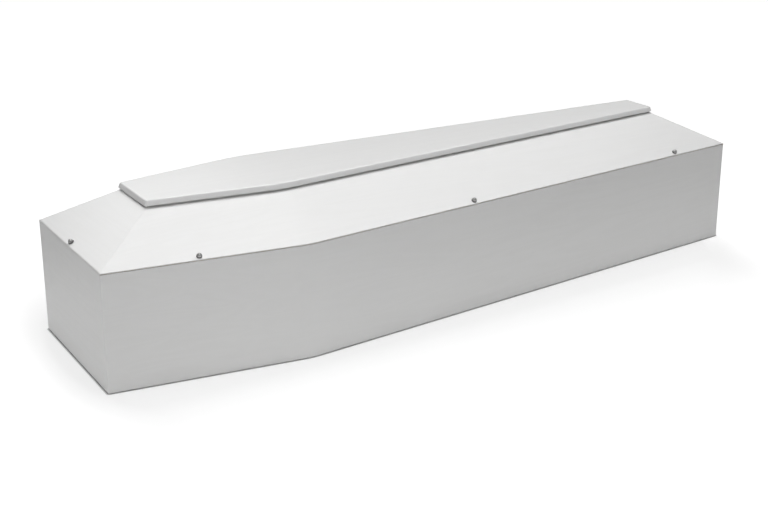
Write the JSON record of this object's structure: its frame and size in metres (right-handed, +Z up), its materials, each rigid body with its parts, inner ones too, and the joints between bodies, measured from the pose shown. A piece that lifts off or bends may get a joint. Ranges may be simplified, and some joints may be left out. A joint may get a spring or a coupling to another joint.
{
  "type": "coffin",
  "caption": "White lacquered pine coffin, wider at the shoulders, with a closed hip lid of sloping boards, a rounded board on top and domed lid screws.",
  "frame": {"origin": "on the floor under the middle of the coffin: centre of the bounding box's bottom", "axes": "+X runs from the head end to the foot end, +Y towards the left side of someone lying in it, +Z up"},
  "size_m": [2, 0.5976, 0.4096],
  "materials": {
    "white_lacquered_pine": "satin white lacquer over sanded pine boards, with softly broken arrises",
    "bare_pine": "planed, unpainted pine with fine straight grain",
    "polished_nickel": "polished nickel plate on steel"
  },
  "bodies": {
    "root": {"bottom_board": "bare_pine", "right_side_board": "white_lacquered_pine", "left_side_board": "white_lacquered_pine", "head_end_board": "white_lacquered_pine", "foot_end_board": "white_lacquered_pine", "lid_right_slope": "white_lacquered_pine", "lid_left_slope": "white_lacquered_pine", "lid_head_slope": "white_lacquered_pine", "lid_foot_slope": "white_lacquered_pine", "lid_top_board": "white_lacquered_pine", "lid_screw_right_1": "polished_nickel", "lid_screw_right_2": "polished_nickel", "lid_screw_right_3": "polished_nickel", "lid_screw_left_1": "polished_nickel", "lid_screw_left_2": "polished_nickel", "lid_screw_left_3": "polished_nickel", "lid_screw_head": "polished_nickel", "lid_screw_foot": "polished_nickel"}
  },
  "joints": []
}
